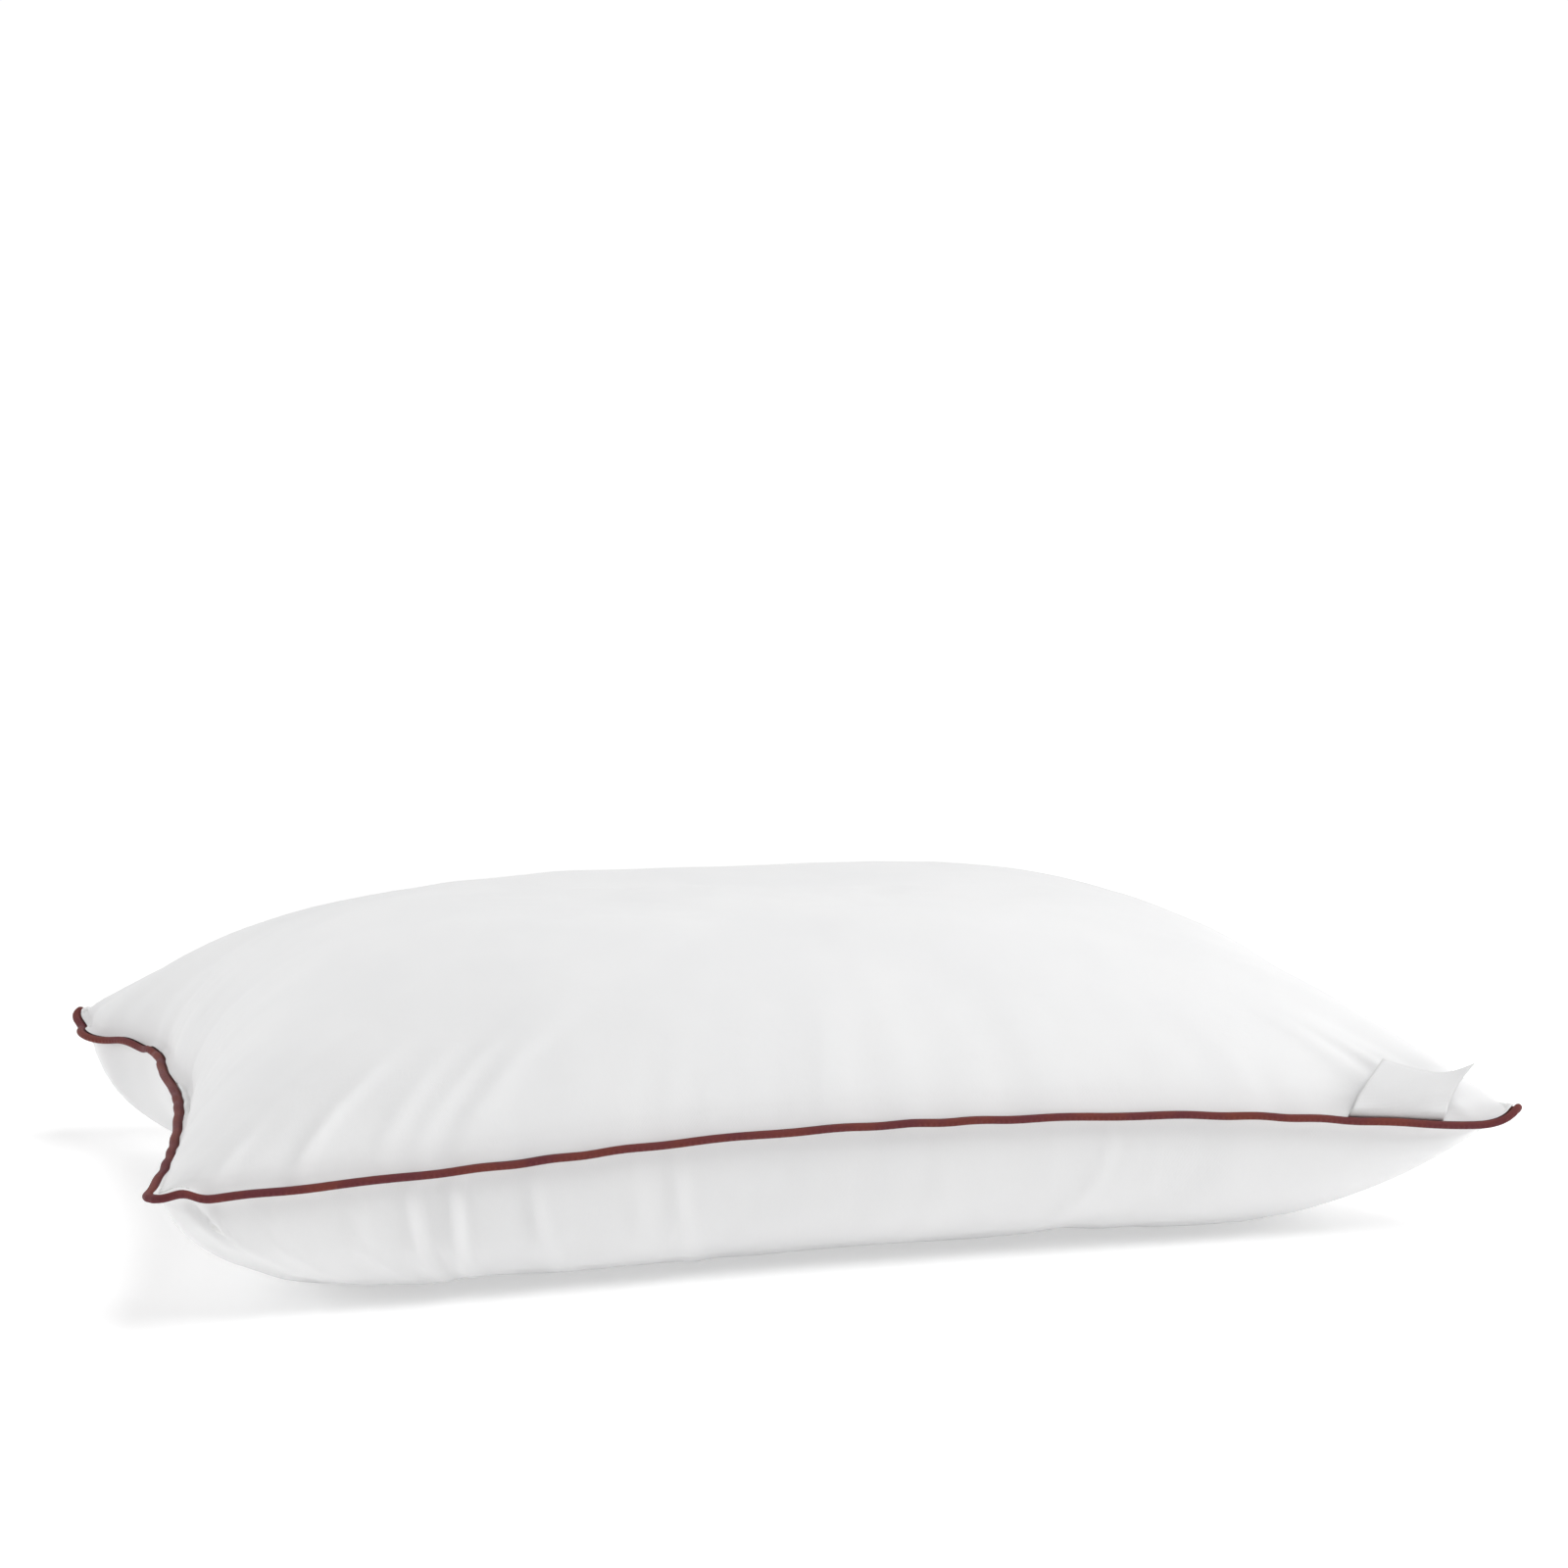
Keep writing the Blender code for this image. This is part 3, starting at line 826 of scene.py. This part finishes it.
def stitch_row(name, out, up, radius, material, share=None):
    """Thread along the seam that dives into the cloth between its stitches."""
    stitches = round(SEAM_RUN / STITCH_LENGTH)
    per_stitch = 6
    fatness = (0.25, 0.85, 1.0, 1.0, 1.0, 0.85)

    def shape(i, j):
        fat = fatness[i % per_stitch]
        around = 2 * math.pi * j / 5
        dive = 0.6 * radius * (1 - fat) * (1 if up < 0 else -1)
        return out + radius * fat * math.cos(around), up + dive + radius * fat * math.sin(around), 0.0

    return round_the_seam(name, stitches * per_stitch, 5, 2 * math.pi * radius, shape, material, share)


# The label: one sheet from its hem in the seam to its free top edge
LABEL_FROM = 0.865         # turns along the front
LABEL_TO = 0.938
LABEL_WIDTH = 0.057
LABEL_HEM = 0.0085
LABEL_STEP = 0.0022        # rise between the hem and the hinge
LABEL_FREE = 0.030
LABEL_LEAN = math.radians(78)


def label_point(across, down):
    """across goes 0 to 1 from left to right, and down is metres from the hem's inner edge."""
    point, out, onward = seam_frame(LABEL_FROM + (LABEL_TO - LABEL_FROM) * across)
    if down <= LABEL_HEM:
        return point + out * (down - LABEL_HEM) + Vector((0, 0, LABEL_SEAT))
    rise = down - LABEL_HEM
    if rise <= LABEL_STEP:
        turn = math.pi / 2 * rise / LABEL_STEP
        bend = LABEL_STEP * 0.64
        outward = bend * 0.4 * math.sin(turn)
        return point + out * outward + Vector((0, 0, LABEL_SEAT + bend * (1 - math.cos(turn))))
    free = rise - LABEL_STEP
    share = free / LABEL_FREE
    ends = abs(2 * across - 1) ** 2
    bulge = 0.0016 * ends * bell(free, 0.004, 0.0035)
    lean = free * math.cos(LABEL_LEAN) - 0.0022 * math.sin(math.pi * share) - bulge
    sag = 0.0052 * (1 - abs(2 * across - 1) ** 2.4) * share ** 2.5
    ear = bell(across, 1.0, 0.13) * share ** 3
    sideways = share * (0.0225 - 0.0065 * across) + 0.0045 * ear - 0.0022 * math.sin(math.pi * share)
    up = LABEL_SEAT + LABEL_STEP * 0.64 + free * math.sin(LABEL_LEAN) - sag
    up += 0.0022 * ear + 0.002 * share * (1 - across)
    inward = lean + 0.0015 * math.sin(2 * math.pi * across) * share - 0.002 * ear
    return point + out * (LABEL_STEP * 0.256 - inward) + onward * sideways + Vector((0, 0, up))


def make_label(material):
    bm = bmesh.new()
    wide, tall = 30, 26
    bmesh.ops.create_grid(bm, x_segments=wide, y_segments=tall, size=1.0)
    cut = bm.loops.layers.uv.new("cut")
    whole = LABEL_HEM + LABEL_STEP + LABEL_FREE
    for face in bm.faces:
        for loop in face.loops:
            loop[cut].uv = ((loop.vert.co.x + 1) / 2 * LABEL_WIDTH, (loop.vert.co.y + 1) / 2 * whole)
    for vert in bm.verts:
        vert.co = label_point((vert.co.x + 1) / 2, (vert.co.y + 1) / 2 * whole)
    label = new_object("label_sheet", bm, material)
    thicken(label, 0.00025)
    return label


# Studio
FRONT_GLOW = 0.10          # brightness of the studio's far walls
BACK_GLOW = 0.86
BACKDROP_GLOW = 1.04       # the white the camera sees behind it all
FLOOR_GLOW = 0.26          # under the pillow, and far away
FAR_FLOOR_GLOW = 0.8


def place_camera():
    data = bpy.data.cameras.new("studio_camera")
    data.sensor_width = 36
    data.lens = 74.25
    camera = bpy.data.objects.new("studio_camera", data)
    camera.location = (-0.503, -1.783, 0.445)
    aim = Vector((0.0215, 0, 0.237)) - camera.location
    camera.rotation_euler = aim.to_track_quat("-Z", "Y").to_euler()
    bpy.context.scene.collection.objects.link(camera)
    bpy.context.scene.camera = camera


def soft_light(name, place, aim, size, power):
    data = bpy.data.lights.new(name, "AREA")
    data.shape = "DISK"
    data.size = size
    data.energy = power
    light = bpy.data.objects.new(name, data)
    light.location = place
    light.rotation_euler = (Vector(aim) - Vector(place)).to_track_quat("-Z", "Y").to_euler()
    bpy.context.scene.collection.objects.link(light)


def light_studio():
    world = bpy.data.worlds.new("studio")
    world.use_nodes = True
    background = world.node_tree.nodes["Background"]
    background.inputs["Color"].default_value = (1, 1, 1, 1)
    wires = Wire(world.node_tree)
    heading = wires.node("ShaderNodeTexCoord", {}, {})
    backward = wires.parts(heading)[1]
    settings = {"interpolation_type": "SMOOTHSTEP"}
    values = {"Value": backward, "From Min": -0.5, "From Max": 0.5, "To Min": FRONT_GLOW, "To Max": BACK_GLOW}
    glow = wires.node("ShaderNodeMapRange", settings, values)
    seen = wires.node("ShaderNodeLightPath", {}, {})
    strength = glow * (1 - seen) + seen * BACKDROP_GLOW
    wires.tree.links.new(strength.socket, background.inputs["Strength"])
    bpy.context.scene.world = world
    bpy.context.scene.view_settings.view_transform = "Standard"
    soft_light("overhead", (0.7, -1.2, 2.2), (0, 0, 0), 2.0, 47)
    soft_light("right", (2.4, -0.7, 0.45), (0, 0, 0.08), 1.2, 13)
    soft_light("left", (-2.2, 0.8, 0.5), (0, 0, 0.08), 1.2, 14)


def make_floor():
    material, wires = new_finish("pale_floor")
    place = wires.node("ShaderNodeTexCoord", {}, {}, 3)
    grain = wires.cloudy(place, 40, 2.0)
    colour = wires.mixed(grain, (0.93, 0.93, 0.93, 1), (0.95, 0.95, 0.95, 1))
    dress(
        material, wires, colour, grain * 0.05 + 0.9, grain, 0.0001, 0.05,
        Specular_IOR_Level=0.1, Emission_Strength=1.0,
    )
    away = wires.node("ShaderNodeVectorMath", {"operation": "LENGTH"}, {0: place}, 1)
    under, far = ((glow, glow, glow, 1) for glow in (FLOOR_GLOW, FAR_FLOOR_GLOW))
    glow = wires.mixed(away.steep(1.0, 3.5), under, far)
    shader = material.node_tree.nodes["Principled BSDF"]
    wires.tree.links.new(glow.socket, shader.inputs["Emission Color"])
    bm = bmesh.new()
    bmesh.ops.create_grid(bm, x_segments=4, y_segments=4, size=12.0)
    floor = new_object("floor", bm, material)


place_camera()
light_studio()
make_floor()

shell = shell_fabric()
tape = piping_tape()
cotton = twisted_yarn("cotton_cord", (0.60, 0.56, 0.48, 1), (0.80, 0.76, 0.68, 1), 0.009, 0.0002)
white_thread = twisted_yarn("white_thread", (0.70, 0.70, 0.68, 1), (0.88, 0.88, 0.86, 1), 0.0012, 0.00005)
maroon_thread = twisted_yarn(
    "maroon_thread", (0.07, 0.016, 0.016, 1), (0.14, 0.035, 0.032, 1), 0.0012, 0.00005
)
fibre = polyester_fibre()
label_cloth = label_fabric()

cover = make_cover()
filling = make_filling(cover, fibre)
refine(cover)
top = panel_sheet("top_cloth", cover, 1, TOP_SEAT, gathered(4, TOP_FOLDS), shell)
bottom = panel_sheet("bottom_cloth", cover, -1, BOTTOM_SEAT, gathered(9, BOTTOM_FOLDS), shell)
bpy.data.objects.remove(cover, do_unlink=True)
piping = make_piping(tape)
cord = make_cord(cotton)
edging = make_edging(white_thread)
held = stitch_row("piping_stitches", 0.0006, -0.0011, 0.00025, maroon_thread)
needle = stitch_row(
    "needle_stitches", -STITCH_INSET, TOP_SEAT + STITCH_PROUD, STITCH_THREAD, white_thread
)
bobbin = stitch_row(
    "bobbin_stitches", -STITCH_INSET, -BOTTOM_SEAT - STITCH_PROUD, STITCH_THREAD, white_thread
)
closing = stitch_row(
    "closing_stitches", -0.0004, TAPE_OUTER + 0.0002, 0.0002, white_thread, closing_share
)
label = make_label(label_cloth)

for piece, node, slot in (
    (top, "top_panel", "shell_fabric"),
    (bottom, "bottom_panel", "shell_fabric"),
    (filling, "fibre_fill", "fibre"),
    (piping, "piping_cover", "piping_tape"),
    (cord, "piping_cord", "piping_filler"),
    (held, "piping_thread", "piping_sewing_thread"),
    (needle, "seam_needle_thread", "sewing_thread"),
    (bobbin, "seam_bobbin_thread", "sewing_thread"),
    (edging, "overlock_thread", "sewing_thread"),
    (closing, "closing_thread", "sewing_thread"),
):
    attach(piece, "pillow")
    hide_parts(node)
hinge = seam_frame((LABEL_FROM + LABEL_TO) / 2)[0]
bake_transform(label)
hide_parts("law_label", "law_label_hem")
